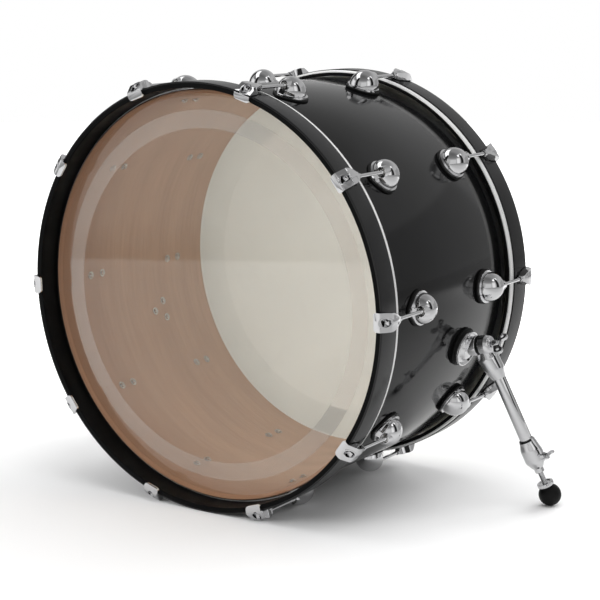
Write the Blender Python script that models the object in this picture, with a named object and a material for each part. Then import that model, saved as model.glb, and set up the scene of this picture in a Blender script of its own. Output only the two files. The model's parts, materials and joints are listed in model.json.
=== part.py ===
"""Bass drum, 24 by 14 inches: shell, two heads, two hoops, tension hardware and two folding spurs.

Row frame: metres, +Z up, floor at z = 0, origin under the middle of the drum. The resonant head
faces -Y and the batter head faces +Y. The spurs lift the resonant end, so the drum's own axes
are tilted about X: everything but the floor height is laid out in those drum axes, where Y is the
drum's axis and angles run clockwise from the top as seen from the resonant side.
"""

import math

import bmesh
import bpy
from mathutils import Matrix, Vector

# ---- driving dimensions (metres) ----
GAP = 0.0003                     # between faces that touch on the real drum
ROUND = 80                       # facets around the drum

DRUM_LENGTH = 0.4216             # front face to front face of the two hoops
HOOP_RADIUS = 0.3165             # outside
HOOP_THICKNESS = 0.0095
HOOP_WIDTH = 0.038
HOOP_CHAMFER = 0.0015

SHELL_RADIUS = 0.3045            # outside
SHELL_WALL = 0.007
SHELL_DEPTH = 0.3556
BEARING_EDGE_LAND = 0.0012       # width of the flat on top of the bearing edge

FILM_THICKNESS = 0.0005
FILM_RADIUS = 0.3063
COLLAR_WALL = 0.0012             # head collar, from the film down into the flesh hoop
FLESH_HOOP_RADIUS = 0.3152       # outside
FLESH_HOOP_WIDTH = 0.0088

LUGS_PER_SIDE = 10
FIRST_LUG_ANGLE = 18.0           # degrees from the top
LUG_INSET = 0.115                # lug centre behind its own hoop's front face
LUG_FLANGE_RADIUS = 0.0246
LUG_FLANGE_HEIGHT = 0.0058
LUG_TIP_AHEAD = 0.0228           # centre of the flange's rounded tip, ahead of the lug's centre
LUG_TIP_RADIUS = 0.0076
LUG_DOME_RADIUS = 0.0222
LUG_DOME_HEIGHT = 0.030
LUG_NOSE_AHEAD = 0.0236          # face of the nose round the rod, ahead of the lug's centre
LUG_NOSE_RADIUS = 0.0076
LUG_NOSE_ROOT_RADIUS = 0.0110
LUG_HOLE_BEHIND = 0.012          # how far the rod's hole runs past the dome's middle
LUG_HOLE_AHEAD = 0.040

ROD_ABOVE_HOOP = 0.0065          # rod's axis outside the hoop
ROD_RADIUS = 0.0029
ROD_CLEARANCE = 0.0005
ROD_PAST_LUG = 0.007             # rod's inner end behind the lug's centre
ROD_HEAD_SIDE = 0.0066
ROD_HEAD_LENGTH = 0.009
CLAW_WIDTH = 0.0268
CLAW_REAR_WIDTH = 0.0150
CLAW_TAPER_START = -0.008        # along the drum from the hoop's front face
CLAW_TAPER_END = -0.0360
CLAW_PAD_GAP = 0.0008            # claw's underside above the hoop
CLAW_LIP_GAP = 0.0006            # claw's lip ahead of the hoop's front face
CLAW_LIP_END = -0.0115           # lip's end, measured out from the hoop's outside
CLAW_REAR = -0.0315
CLAW_TOP = (                     # (along the drum from the hoop's front face, out from its outside)
    (0.0042, CLAW_LIP_END),
    (0.0048, 0.0045),
    (-0.0045, 0.0122),
    (-0.0170, 0.0130),
    (CLAW_REAR, 0.0108),
)
CLAW_SOCKET_RADIUS = 0.0052
CLAW_SOCKET_DEPTH = 0.0115

SPUR_ANGLE = 106.0               # bracket's place around the shell, degrees from the top
SPUR_AXIAL = -0.0492             # bracket's place along the drum's axis
BRACKET_RADIUS = 0.0285
BRACKET_HEIGHT = 0.014
BRACKET_WALL = 0.0080            # height of the foot's straight wall
BRACKET_TOP_RADIUS = 0.0205
BARREL_RADIUS = 0.0145
BARREL_START = -0.024            # along the hinge axis from the hinge centre
HINGE_OUT = 0.3315               # hinge centre, sideways from the drum's axis
HINGE_DOWN = 0.0777              # hinge centre, below the drum's axis
HINGE_UPWARD = 10.0              # degrees that the hinge axis rises on its way out
LEG_OUTWARD = 17.8               # degrees that the leg leans out from the drum's own vertical
LEG_FORWARD = 15.5               # degrees that the leg leans towards the resonant end
HEAD_RADIUS = 0.0145
HEAD_HALF_THICKNESS = 0.006
HEAD_CAP = ((0.0045, 0.0145), (0.0100, 0.0120), (0.0125, 0.0070))   # (along the hinge axis, radius)
NECK = ((0.0090, 0.0108), (0.0200, 0.0150), (0.0350, 0.0144), (0.0530, 0.0106))   # (down the leg, radius)
TUBE_RADIUS = 0.0094
TUBE_BORE = 0.0076
INNER_RADIUS = 0.0071
TIP_RADIUS = 0.004
BORE_TOP = 0.060                 # distances down the leg from the hinge
INNER_TOP = 0.068
TUBE_END = 0.1605
CLAMP_BOLT_AT = 0.190
CLAMP = ((TUBE_END, 0.0116), (0.1660, 0.0126), (0.1760, 0.0151), (0.1945, 0.0149), (0.2068, 0.0086))
CLAMP_BOSS_RADIUS = 0.0056
CLAMP_BOSS = (0.009, 0.0195)     # start and end, sideways from the leg's axis
INNER_END = 0.2145
NUT_START = 0.2325
NUT_END = 0.2395
NUT_RADIUS = 0.0125
BALL_RADIUS = 0.0170
BALL_FLAT = 0.0143               # ball centre to the flat under the nut
BALL_SOCKET_DEPTH = 0.006        # past the ball's centre
TIP_IN_BALL = 0.004

PIVOT_BOLT_RADIUS = 0.0036
PIVOT_BOLT_HOLE = 0.0042
PIVOT_BOLT_INWARD = 0.016        # shank's inner end, from the hinge centre
PIVOT_BOLT_HOLE_INWARD = 0.019
PIVOT_WING_LEAN = (-0.75, 0.66)  # how the wings point: along the drum, up
CLAMP_BOLT_RADIUS = 0.0026
CLAMP_BOLT_HOLE = 0.0031
THROUGH = 0.040                  # length of cutters that run clear of the part

# ---- dimensions worked out from those ----
SHELL_HALF = SHELL_DEPTH / 2
HOOP_FRONT = DRUM_LENGTH / 2
HOOP_INNER = HOOP_RADIUS - HOOP_THICKNESS
HOOP_REAR = HOOP_FRONT - HOOP_WIDTH
FILM_INNER_FACE = SHELL_HALF + GAP
FILM_OUTER_FACE = FILM_INNER_FACE + FILM_THICKNESS
FLESH_HOOP_FRONT = HOOP_REAR - GAP
FLESH_HOOP_REAR = FLESH_HOOP_FRONT - FLESH_HOOP_WIDTH
LUG_AXIAL = HOOP_FRONT - LUG_INSET
ROD_HEIGHT_ON_LUG = HOOP_RADIUS + ROD_ABOVE_HOOP - SHELL_RADIUS
BALL_AT = NUT_END + GAP + BALL_FLAT

LEG_OUT_SLOPE = math.tan(math.radians(LEG_OUTWARD))
LEG_FORWARD_SLOPE = math.tan(math.radians(LEG_FORWARD))


def leg_direction(hand):
    return Vector((hand * LEG_OUT_SLOPE, -LEG_FORWARD_SLOPE, -1)).normalized()


def foot_below_axis():
    """How far below the drum's axis the centre of a spur's rubber ball is, in the drum's axes."""
    return HINGE_DOWN - leg_direction(1).z * BALL_AT


def foot_ahead_of_middle():
    return -(SPUR_AXIAL + leg_direction(1).y * BALL_AT)


def resting_tilt():
    """Tilt at which the batter hoop's bottom edge and both rubber balls touch the floor together."""
    tilt = 0.0
    for _ in range(20):
        hoop_drop = HOOP_RADIUS * math.cos(tilt) + HOOP_FRONT * math.sin(tilt)
        ball_drop = (
            foot_below_axis() * math.cos(tilt)
            - foot_ahead_of_middle() * math.sin(tilt)
            + BALL_RADIUS
        )
        tilt += (ball_drop - hoop_drop) / (HOOP_FRONT + foot_ahead_of_middle())
    return tilt


TILT = resting_tilt()
AXIS_HEIGHT = HOOP_RADIUS * math.cos(TILT) + HOOP_FRONT * math.sin(TILT)


# ---- scene helpers ----
def clear_scene():
    for old in list(bpy.data.objects):
        bpy.data.objects.remove(old, do_unlink=True)


def material(name, colour, roughness, metallic):
    made = bpy.data.materials.new(name)
    made.use_nodes = True
    shader = made.node_tree.nodes["Principled BSDF"]
    shader.inputs["Base Color"].default_value = (*colour, 1.0)
    shader.inputs["Roughness"].default_value = roughness
    shader.inputs["Metallic"].default_value = metallic
    return made


def add_object(name, mesh, parent):
    thing = bpy.data.objects.new(name, mesh)
    bpy.context.scene.collection.objects.link(thing)
    thing.parent = parent
    return thing


def add_empty(name, parent, location=(0, 0, 0)):
    empty = add_object(name, None, parent)
    empty.location = location
    return empty


def finish_mesh(bm, name):
    bmesh.ops.remove_doubles(bm, verts=bm.verts, dist=1e-7)
    bmesh.ops.recalc_face_normals(bm, faces=bm.faces)
    mesh = bpy.data.meshes.new(name)
    bm.to_mesh(mesh)
    bm.free()
    return mesh


def shade_round(mesh, sharp_degrees=30):
    mesh.shade_smooth()
    mesh.set_sharp_from_angle(angle=math.radians(sharp_degrees))


def square_to(direction):
    """Two unit vectors square to a direction and to each other."""
    along = Vector(direction).normalized()
    helper = Vector((0, 0, 1)) if abs(along.z) < 0.9 else Vector((1, 0, 0))
    across = along.cross(helper).normalized()
    return across, along.cross(across)


def turned(profile, origin, direction, sides, closed=False, start=0.0):
    """Solid of revolution. profile is a list of (distance along the axis, radius).

    A closed profile is the outline of a ring; an open one gets a cap, or a point, at each end.
    """
    bm = bmesh.new()
    along = Vector(direction).normalized()
    across, beside = square_to(along)
    rings = []
    for distance, radius in profile:
        centre = Vector(origin) + along * distance
        if radius == 0:
            rings.append([bm.verts.new(centre)])
            continue
        ring = []
        for side in range(sides):
            turn = start + 2 * math.pi * side / sides
            ring.append(bm.verts.new(centre + radius * (math.cos(turn) * across + math.sin(turn) * beside)))
        rings.append(ring)
    pairs = list(zip(rings, rings[1:]))
    if closed:
        pairs.append((rings[-1], rings[0]))
    for first, second in pairs:
        for side in range(sides):
            after = (side + 1) % sides
            corners = [first[side % len(first)], first[after % len(first)]]
            corners += [second[after % len(second)], second[side % len(second)]]
            bm.faces.new(list(dict.fromkeys(corners)))
    if not closed:
        for ring in (rings[0], rings[-1]):
            if len(ring) > 1:
                bm.faces.new(ring)
    return finish_mesh(bm, "turned")


def prism(outline, origin, flat_x, flat_y, depth):
    """Outline of (x, y) points in the plane of flat_x and flat_y, extruded by depth along their normal."""
    bm = bmesh.new()
    flat_x = Vector(flat_x).normalized()
    flat_y = Vector(flat_y).normalized()
    points = [Vector(origin) + x * flat_x + y * flat_y for x, y in outline]
    face = bm.faces.new([bm.verts.new(point) for point in points])
    grown = bmesh.ops.extrude_face_region(bm, geom=[face])
    moved = [item for item in grown["geom"] if isinstance(item, bmesh.types.BMVert)]
    bmesh.ops.translate(bm, verts=moved, vec=flat_x.cross(flat_y) * depth)
    return finish_mesh(bm, "prism")


def combined(name, meshes, cutters=()):
    """One closed mesh: the first mesh with the others joined on, less the cutters."""
    base = add_object(name, meshes[0], None)
    guides = []
    for operation, group in (("UNION", meshes[1:]), ("DIFFERENCE", cutters)):
        for mesh in group:
            guide = add_object("guide", mesh, None)
            guide.hide_render = True
            guide.display_type = "WIRE"
            guides.append(guide)
            step = base.modifiers.new(operation.lower(), "BOOLEAN")
            step.operation = operation
            step.solver = "EXACT"
            step.object = guide
    bpy.context.view_layer.update()
    evaluated = base.evaluated_get(bpy.context.evaluated_depsgraph_get())
    result = bpy.data.meshes.new_from_object(evaluated)
    for thing in [base, *guides]:
        bpy.data.objects.remove(thing, do_unlink=True)
    result.name = name
    return result


def place(name, mesh, look, parent, matrix=None, sharp_degrees=30):
    if not mesh.materials:
        mesh.materials.append(look)
        shade_round(mesh, sharp_degrees)
    thing = add_object(name, mesh, parent)
    if matrix is not None:
        thing.matrix_local = matrix
    return thing


# ---- shell, heads and hoops: rings about the drum's axis ----
DRUM_AXIS = (0, 1, 0)


def drum_ring(name, profile, look, drum):
    """Ring whose profile is a list of (place along the drum's axis, radius)."""
    return place(name, turned(profile, (0, 0, 0), DRUM_AXIS, ROUND, closed=True), look, drum)


def make_shell(look, drum):
    inner = SHELL_RADIUS - SHELL_WALL
    edge = SHELL_RADIUS - 0.0016
    slope = edge - BEARING_EDGE_LAND - inner
    half = [
        (SHELL_HALF - slope, inner),
        (SHELL_HALF, edge - BEARING_EDGE_LAND),
        (SHELL_HALF, edge),
        (SHELL_HALF - (SHELL_RADIUS - edge), SHELL_RADIUS),
    ]
    mirrored = [(-along, radius) for along, radius in reversed(half)]
    drum_ring("shell", half + mirrored, look, drum)


def make_head(side_name, side, film_look, rim_look, drum):
    film = [(side * FILM_INNER_FACE, FILM_RADIUS), (side * FILM_OUTER_FACE, FILM_RADIUS)]
    place(f"{side_name}_head_film", turned(film, (0, 0, 0), DRUM_AXIS, ROUND), film_look, drum)
    collar_inner = SHELL_RADIUS + GAP
    collar_outer = collar_inner + COLLAR_WALL
    rim = [
        (side * (FILM_INNER_FACE - GAP), collar_inner),
        (side * (FILM_INNER_FACE - GAP), collar_outer),
        (side * FLESH_HOOP_FRONT, collar_outer),
        (side * FLESH_HOOP_FRONT, FLESH_HOOP_RADIUS),
        (side * FLESH_HOOP_REAR, FLESH_HOOP_RADIUS),
        (side * FLESH_HOOP_REAR, collar_inner),
    ]
    drum_ring(f"{side_name}_head_rim", rim, rim_look, drum)


def make_hoop(side_name, side, look, drum):
    profile = [
        (side * HOOP_FRONT, HOOP_INNER),
        (side * HOOP_FRONT, HOOP_RADIUS - HOOP_CHAMFER),
        (side * (HOOP_FRONT - HOOP_CHAMFER), HOOP_RADIUS),
        (side * HOOP_REAR, HOOP_RADIUS),
        (side * HOOP_REAR, HOOP_INNER),
    ]
    drum_ring(f"{side_name}_hoop", profile, look, drum)


# ---- tension hardware: +Z points out of the shell, +Y towards the piece's own hoop ----
def lug_outline():
    """Flange: round behind, drawn in along straight sides to a rounded tip ahead."""
    turn_in = math.acos((LUG_FLANGE_RADIUS - LUG_TIP_RADIUS) / LUG_TIP_AHEAD)
    points = []
    rear_steps = 9
    for step in range(rear_steps + 1):
        turn = turn_in + 2 * (math.pi - turn_in) * step / rear_steps
        points.append((LUG_FLANGE_RADIUS * math.sin(turn), LUG_FLANGE_RADIUS * math.cos(turn)))
    tip_steps = 4
    for step in range(1, tip_steps):
        turn = -turn_in + 2 * turn_in * step / tip_steps
        points.append((LUG_TIP_RADIUS * math.sin(turn), LUG_TIP_AHEAD + LUG_TIP_RADIUS * math.cos(turn)))
    return points


def lug_mesh():
    flange = prism(lug_outline(), (0, 0, GAP), (1, 0, 0), (0, 1, 0), LUG_FLANGE_HEIGHT - GAP)
    dome_rise = LUG_DOME_HEIGHT - LUG_FLANGE_HEIGHT
    dome = [(LUG_FLANGE_HEIGHT - 0.001, LUG_DOME_RADIUS)]
    for step in range(4):
        lean = math.radians(22.0 * step)
        dome.append((LUG_FLANGE_HEIGHT + dome_rise * math.sin(lean), LUG_DOME_RADIUS * math.cos(lean)))
    dome.append((LUG_DOME_HEIGHT, 0))
    rod_axis = (0, 0, ROD_HEIGHT_ON_LUG)
    nose = turned([(0, LUG_NOSE_ROOT_RADIUS), (LUG_NOSE_AHEAD, LUG_NOSE_RADIUS)], rod_axis, (0, 1, 0), 10)
    hole_radius = ROD_RADIUS + ROD_CLEARANCE
    hole = turned([(-LUG_HOLE_BEHIND, hole_radius), (LUG_HOLE_AHEAD, hole_radius)], rod_axis, (0, 1, 0), 8)
    return combined("lug", [flange, turned(dome, (0, 0, 0), (0, 0, 1), 14), nose], [hole])


def claw_and_rod_mesh():
    """Claw and its key rod. Origin on the hoop's outside, level with the hoop's front face."""
    underside = [(CLAW_REAR, CLAW_PAD_GAP), (CLAW_LIP_GAP, CLAW_PAD_GAP), (CLAW_LIP_GAP, CLAW_LIP_END)]
    profile = [*CLAW_TOP, *underside]
    body = prism(profile, (-CLAW_WIDTH / 2, 0, 0), (0, 1, 0), (0, 0, 1), CLAW_WIDTH)
    beside = [
        (CLAW_REAR_WIDTH / 2, CLAW_TAPER_END),
        (CLAW_WIDTH / 2 + 0.001, CLAW_TAPER_START),
        (CLAW_WIDTH, CLAW_TAPER_END),
    ]
    rod_axis = (0, 0, ROD_ABOVE_HOOP)
    trims = []
    for flip in (1, -1):
        corner = [(flip * x, y) for x, y in beside]
        trims.append(prism(corner, (0, 0, -0.001), (1, 0, 0), (0, 1, 0), THROUGH))
    socket = turned([(-CLAW_SOCKET_DEPTH, CLAW_SOCKET_RADIUS), (THROUGH, CLAW_SOCKET_RADIUS)],
                    rod_axis, (0, 1, 0), 12)
    shaped = combined("claw", [body], [*trims, socket])
    rod_end = -(LUG_INSET + ROD_PAST_LUG)
    rod = turned([(rod_end, ROD_RADIUS), (-CLAW_SOCKET_DEPTH + 0.001, ROD_RADIUS)], rod_axis, (0, 1, 0), 8)
    half = ROD_HEAD_SIDE / math.sqrt(2)
    head_start = -CLAW_SOCKET_DEPTH - 0.001
    head = turned([(head_start, half), (head_start + ROD_HEAD_LENGTH, half)], rod_axis, (0, 1, 0), 4)
    return combined("claw_and_rod", [shaped, rod, head])


def around_drum(angle, side, along, radius):
    """Frame on the drum: +Z out of the shell at that angle, +Y towards the side's hoop."""
    turn = Matrix.Rotation(math.radians(angle), 4, "Y")
    facing = Matrix.Rotation(0 if side > 0 else math.pi, 4, "Z")
    return turn @ Matrix.Translation((0, side * along, radius)) @ facing


def make_tension_hardware(chrome, drum):
    lug = lug_mesh()
    claw = claw_and_rod_mesh()
    for side_name, side in (("batter", 1), ("reso", -1)):
        for number in range(LUGS_PER_SIDE):
            angle = FIRST_LUG_ANGLE + number * 360 / LUGS_PER_SIDE
            at_lug = around_drum(angle, side, LUG_AXIAL, SHELL_RADIUS)
            place(f"{side_name}_lug_{number + 1:02d}", lug, chrome, drum, at_lug)
            at_claw = around_drum(angle, side, HOOP_FRONT, HOOP_RADIUS)
            place(f"{side_name}_claw_rod_{number + 1:02d}", claw, chrome, drum, at_claw)


# ---- spurs, in the drum's axes; hand is +1 for the one at +X and -1 for the one at -X ----
def spur_directions(hand):
    rise = math.radians(HINGE_UPWARD)
    hinge = Vector((hand * math.cos(rise), 0, math.sin(rise)))
    leg = leg_direction(hand)
    clamp = (hinge - hinge.dot(leg) * leg).normalized()
    return hinge, leg, clamp


def bracket_mesh(hinge_at, hinge, hand):
    angle = math.radians(SPUR_ANGLE)
    outward = Vector((hand * math.sin(angle), 0, math.cos(angle)))
    foot = outward * (SHELL_RADIUS + GAP) + Vector((0, SPUR_AXIAL, 0)) - hinge_at
    top = BRACKET_HEIGHT - GAP
    puck = turned(
        [(0, BRACKET_RADIUS), (BRACKET_WALL, BRACKET_RADIUS), (top, BRACKET_TOP_RADIUS)],
        foot, outward, 24,
    )
    barrel_end = -HEAD_HALF_THICKNESS - GAP
    barrel = turned([(BARREL_START, BARREL_RADIUS), (barrel_end, BARREL_RADIUS)], (0, 0, 0), hinge, 20)
    bolt_hole = turned([(-PIVOT_BOLT_HOLE_INWARD, PIVOT_BOLT_HOLE), (0, PIVOT_BOLT_HOLE)], (0, 0, 0), hinge, 12)
    return combined("spur_bracket", [puck, barrel], [bolt_hole])


def leg_mesh(hinge, leg, clamp):
    """Hinge head, tube and clamp, about the hinge's centre."""
    start = (0, 0, 0)
    head = turned([(-HEAD_HALF_THICKNESS, HEAD_RADIUS), *HEAD_CAP], start, hinge, 20)
    neck_end = NECK[-1][0]
    profile = [*NECK, (neck_end, TUBE_RADIUS), (TUBE_END, TUBE_RADIUS), *CLAMP]
    body = turned(profile, start, leg, 20)
    bolt_at = leg * CLAMP_BOLT_AT
    boss = turned([(along, CLAMP_BOSS_RADIUS) for along in CLAMP_BOSS], bolt_at, clamp, 12)
    bore = turned([(BORE_TOP, TUBE_BORE), (CLAMP[-1][0] + THROUGH, TUBE_BORE)], start, leg, 16)
    bolt_hole = turned([(-THROUGH / 2, PIVOT_BOLT_HOLE), (THROUGH / 2, PIVOT_BOLT_HOLE)], start, hinge, 12)
    clamp_hole = turned([(0, CLAMP_BOLT_HOLE), (THROUGH, CLAMP_BOLT_HOLE)], bolt_at, clamp, 8)
    barrel_room = BARREL_RADIUS + 2 * GAP
    room = turned([(-THROUGH, barrel_room), (-HEAD_HALF_THICKNESS, barrel_room)], start, hinge, 20)
    return combined("spur_leg", [head, body, boss], [bore, bolt_hole, clamp_hole, room])


def inner_rod_mesh(leg):
    profile = [
        (INNER_TOP, INNER_RADIUS),
        (INNER_END, INNER_RADIUS),
        (INNER_END, TIP_RADIUS),
        (NUT_START, TIP_RADIUS),
        (NUT_START, NUT_RADIUS),
        (NUT_END, NUT_RADIUS),
        (NUT_END, TIP_RADIUS),
        (BALL_AT + TIP_IN_BALL, TIP_RADIUS),
    ]
    return turned(profile, (0, 0, 0), leg, 16)


def foot_mesh(leg):
    steps = 12
    ball = []
    for step in range(steps + 1):
        turn = math.pi * step / steps
        ball.append((-BALL_RADIUS * math.cos(turn), BALL_RADIUS * math.sin(turn)))
    ball[0] = (-BALL_RADIUS, 0)
    ball[-1] = (BALL_RADIUS, 0)
    solid = turned(ball, (0, 0, 0), leg, 20)
    wider = 1.2 * BALL_RADIUS
    flat = turned([(-THROUGH, wider), (-BALL_FLAT, wider)], (0, 0, 0), leg, 12)
    socket_radius = TIP_RADIUS + ROD_CLEARANCE
    socket = turned([(-THROUGH, socket_radius), (BALL_SOCKET_DEPTH, socket_radius)], (0, 0, 0), leg, 12)
    return combined("spur_foot", [solid], [flat, socket])


def wing_bolt_mesh(axis, wing_way, shank, shank_in, hub, hub_start, wing_start, wing_end, span, thickness):
    """Shank, hub and two wings. Distances run out along the axis from the mesh's origin."""
    across = Vector(axis).cross(Vector(wing_way)).normalized()
    bolt = turned([(-shank_in, shank), (hub_start + 0.001, shank)], (0, 0, 0), axis, 10)
    height = wing_end - wing_start
    hub_end = wing_start + 0.45 * height
    body = turned([(hub_start, hub), (hub_end, 0.8 * hub)], (0, 0, 0), axis, 12)
    half = span / 2
    outline = [
        (-0.5 * hub, wing_start),
        (0.5 * hub, wing_start),
        (half, wing_start + 0.35 * height),
        (half, wing_end),
        (0.6 * half, wing_end),
        (0.4 * hub, wing_start + 0.4 * height),
        (-0.4 * hub, wing_start + 0.4 * height),
        (-0.6 * half, wing_end),
        (-half, wing_end),
        (-half, wing_start + 0.35 * height),
    ]
    wings = prism(outline, across * thickness / 2, wing_way, axis, thickness)
    return combined("wing_bolt", [bolt, body, wings])


def make_spur(hand_name, hand, chrome, rubber, drum):
    hinge, leg, clamp = spur_directions(hand)
    hinge_at = Vector((hand * HINGE_OUT, SPUR_AXIAL, -HINGE_DOWN))
    pivot = add_empty(f"{hand_name}_spur_pivot", drum, hinge_at)
    place(f"{hand_name}_spur_bracket", bracket_mesh(hinge_at, hinge, hand), chrome, pivot)
    place(f"{hand_name}_spur_leg", leg_mesh(hinge, leg, clamp), chrome, pivot)
    place(f"{hand_name}_spur_inner_rod", inner_rod_mesh(leg), chrome, pivot)
    ball_at = Matrix.Translation(leg * BALL_AT)
    place(f"{hand_name}_spur_foot", foot_mesh(leg), rubber, pivot, ball_at)
    wing_way = Vector((0, *PIVOT_WING_LEAN))
    wing_way = (wing_way - wing_way.dot(hinge) * hinge).normalized()
    pivot_bolt = wing_bolt_mesh(
        hinge, wing_way, shank=PIVOT_BOLT_RADIUS, shank_in=PIVOT_BOLT_INWARD, hub=0.0062,
        hub_start=HEAD_CAP[-1][0] + GAP, wing_start=0.0160, wing_end=0.0330, span=0.036, thickness=0.0040,
    )
    place(f"{hand_name}_spur_pivot_wing_bolt", pivot_bolt, chrome, pivot)
    clamp_at = Matrix.Translation(leg * CLAMP_BOLT_AT)
    clamp_way = clamp.cross(leg)
    clamp_bolt = wing_bolt_mesh(
        clamp, clamp_way, shank=CLAMP_BOLT_RADIUS, shank_in=-0.0095, hub=0.0042, hub_start=CLAMP_BOSS[1] + GAP,
        wing_start=0.0215, wing_end=0.031, span=0.024, thickness=0.0028,
    )
    place(f"{hand_name}_spur_clamp_wing_bolt", clamp_bolt, chrome, pivot, clamp_at)


def main():
    clear_scene()
    lacquer = material("black_lacquer", (0.006, 0.006, 0.007), 0.12, 0.0)
    chrome = material("chrome", (0.80, 0.80, 0.82), 0.10, 1.0)
    aluminium = material("aluminium", (0.70, 0.70, 0.70), 0.30, 1.0)
    clear_film = material("clear_film", (0.72, 0.66, 0.60), 0.10, 0.0)
    white_film = material("white_film", (0.78, 0.76, 0.70), 0.35, 0.0)
    rubber = material("black_rubber", (0.015, 0.015, 0.015), 0.60, 0.0)

    drum = add_empty("drum_axis", None, (0, 0, AXIS_HEIGHT))
    drum.rotation_euler = (-TILT, 0, 0)
    make_shell(lacquer, drum)
    for side_name, side, film in (("batter", 1, clear_film), ("reso", -1, white_film)):
        make_head(side_name, side, film, aluminium, drum)
        make_hoop(side_name, side, lacquer, drum)
    make_tension_hardware(chrome, drum)
    for hand_name, hand in (("left", -1), ("right", 1)):
        make_spur(hand_name, hand, chrome, rubber, drum)


main()
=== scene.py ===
"""Looks of the bass drum: lacquered shell with a wooden inside, clear and white heads, black hoops,
chrome lugs, claws, key rods and spurs, on a white studio floor."""

import json
import math

import bmesh
import bpy
from mathutils import Matrix, Vector


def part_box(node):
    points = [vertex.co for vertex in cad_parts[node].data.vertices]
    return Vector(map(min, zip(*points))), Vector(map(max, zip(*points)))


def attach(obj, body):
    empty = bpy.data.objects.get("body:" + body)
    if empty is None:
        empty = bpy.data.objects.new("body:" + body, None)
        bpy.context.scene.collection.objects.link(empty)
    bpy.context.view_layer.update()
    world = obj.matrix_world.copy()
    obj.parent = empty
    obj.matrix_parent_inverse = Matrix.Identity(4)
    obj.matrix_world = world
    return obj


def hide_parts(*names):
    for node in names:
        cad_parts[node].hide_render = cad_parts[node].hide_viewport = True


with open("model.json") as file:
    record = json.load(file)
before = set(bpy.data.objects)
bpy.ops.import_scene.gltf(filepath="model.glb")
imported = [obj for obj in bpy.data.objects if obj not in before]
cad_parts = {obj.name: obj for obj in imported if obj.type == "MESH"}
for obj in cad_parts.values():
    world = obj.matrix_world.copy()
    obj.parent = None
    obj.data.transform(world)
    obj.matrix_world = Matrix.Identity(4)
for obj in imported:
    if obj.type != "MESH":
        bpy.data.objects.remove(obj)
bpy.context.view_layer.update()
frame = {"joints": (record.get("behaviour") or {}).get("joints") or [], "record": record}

# ---- the drum's own frame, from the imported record: Y runs along the drum to the batter head ----
MOUNTS = {mount["name"]: mount for mount in frame["record"]["mounts"]}
JOINTS = {joint["name"]: joint for joint in frame["joints"]}
BATTER_FACE = Vector(MOUNTS["batter_head_face"]["pos_m"])
RESO_FACE = Vector(MOUNTS["reso_head_face"]["pos_m"])
MIDDLE = (BATTER_FACE + RESO_FACE) / 2
ALONG = (BATTER_FACE - RESO_FACE).normalized()
SIDEWAYS = Vector((1, 0, 0))
UPWARD = SIDEWAYS.cross(ALONG)
DRUM = Matrix.Translation(MIDDLE) @ Matrix((SIDEWAYS, ALONG, UPWARD)).transposed().to_4x4()
BODY = "drum"


def half_width(node):
    low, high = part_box(node)
    return (high.x - low.x) / 2


# ---- driving dimensions (metres) ----
HOOP_RADIUS = half_width("batter_hoop")
SHELL_RADIUS = half_width("shell")
FILM_FACE = (BATTER_FACE - RESO_FACE).length / 2  # outer face of each head, from the drum's middle
HEAD_INSET = 0.0322  # head's face behind its hoop's front face
HOOP_FRONT = FILM_FACE + HEAD_INSET
HOOP_WIDTH = 0.038
HOOP_THICKNESS = 0.0095
HOOP_REAR = HOOP_FRONT - HOOP_WIDTH
SHELL_WALL = 0.007
SHELL_HALF = 0.1778  # half the shell's depth
LACQUER = 0.0006
FILM = 0.0003
FLESH_HOOP_RADIUS = half_width("batter_head_rim")
FLESH_HOOP_WIDTH = 0.0088
RING_INNER = 0.248  # muffling rings under the heads
RING_OUTER = 0.2745
LUGS = 10
FIRST_ANGLE = 18.0
LUG_INSET = 0.115
LUG_AXIAL = HOOP_FRONT - LUG_INSET
ROD_ABOVE_HOOP = 0.0065
ROD_RADIUS = 0.0029
ROD_ON_LUG = HOOP_RADIUS + ROD_ABOVE_HOOP - SHELL_RADIUS
LUG_FLAT = 0.0238  # flat face round the rod, from the lug's middle
LUG_DOME_RADIUS = 0.0222
LUG_DOME_TOP = 0.0300
LUG_SHOULDER = 0.0075  # where the dome's straight side ends
LUG_FLANGE = (0.0246, 0.0228, 0.0076)  # radius, way to the tip, the tip's radius
LUG_GASKET = (0.0264, 0.0230, 0.0092)
SCREW_SPACING = 0.0135  # from the lug's middle to each of its screws
SCREW_RADIUS = 0.0042
SCREW_HEIGHT = 0.0030
WASHER_RADIUS = 0.0062
WASHER_THICKNESS = 0.0011
CLAW_HALF = 0.0134
CLAW_FRONT = 0.0060  # places on a claw are from the hoop's front edge
CLAW_REAR = -0.0315
CLAW_LIP_END = -0.0115
KEY_SOCKET = 0.0058
SPUR_ANGLE = 106.0  # spur brackets, from the top of the drum
LEG_NECK_END = 0.0545  # places on a spur's leg are from its hinge
TUBE_START = 0.040
TUBE_END = 0.1596
TUBE_RADIUS = 0.0094
SLOT_TURN = 15.0  # slot in the spur's tube, turned from the clamp bolt
CLAMP_START = 0.1610
CLAMP_END = 0.2068
CLAMP_BOLT = 0.190
INNER_BORE = 0.0076
INNER_START = 0.068
INNER_END = 0.2140
INNER_RADIUS = 0.0071
TIP_START = 0.2160  # thread under the foot
TIP_THREAD_END = 0.2520
TIP_END = 0.2530
FOOT_NUT_AT = 0.2330
FOOT_NUT_RADIUS = 0.0125
KNURLS = 30
BALL_RADIUS = 0.0170
BALL_FLAT = 0.0143  # from the ball's middle to its flat top
ROUND = 256  # facets around the drum
FILM_INDEX = 1.6  # refractive index of polyester film
GAP = 0.0003  # between pieces that touch

FLOOR_SEEN = 0.92  # how white the floor is to the camera
FLOOR_MIRRORED = 0.58  # and to polished surfaces
FLOOR_EDGE = 2.0  # where the white floor ends, from the drum, ...
FLOOR_EDGE_WAY = (0.309, 0.951, 0)  # ... going this way
WORLD_GREY = 0.62  # studio light on surfaces that don't mirror it
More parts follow.
